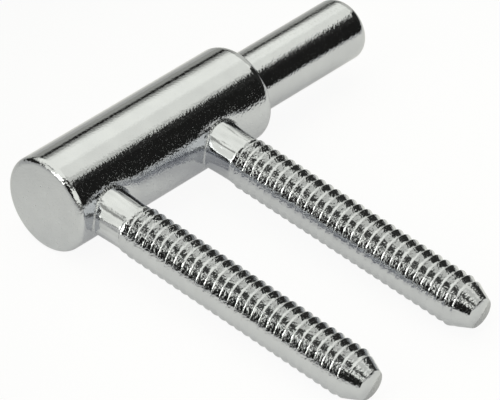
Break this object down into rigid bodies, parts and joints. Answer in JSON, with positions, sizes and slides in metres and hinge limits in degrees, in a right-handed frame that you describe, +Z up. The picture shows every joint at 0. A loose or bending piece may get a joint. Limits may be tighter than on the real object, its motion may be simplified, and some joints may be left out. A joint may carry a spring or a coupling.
{
  "type": "drill-in hinge lower part",
  "caption": "Lower part of a drill-in door hinge: round barrel with an upright hinge pin and threaded studs that screw into a timber frame.",
  "frame": {"origin": "on the hinge pin's axis, at the barrel's bearing shoulder", "axes": "+Y along the hinge pin's axis towards its tip, +Z up as the part lies on its barrel and the tips of its studs, +X away from the barrel over the studs, which dip a few degrees towards the floor"},
  "size_m": [0.065, 0.0641, 0.015],
  "materials": {
    "barrel_plating": "bright zinc plating, slightly rippled",
    "pin_plating": "bright zinc plating, smooth",
    "stud_plating": "bright zinc plating over a rolled thread"
  },
  "bodies": {
    "root": {"barrel": "barrel_plating", "hinge_pin": "pin_plating", "lower_stud": "stud_plating", "upper_stud": "stud_plating"}
  },
  "joints": []
}
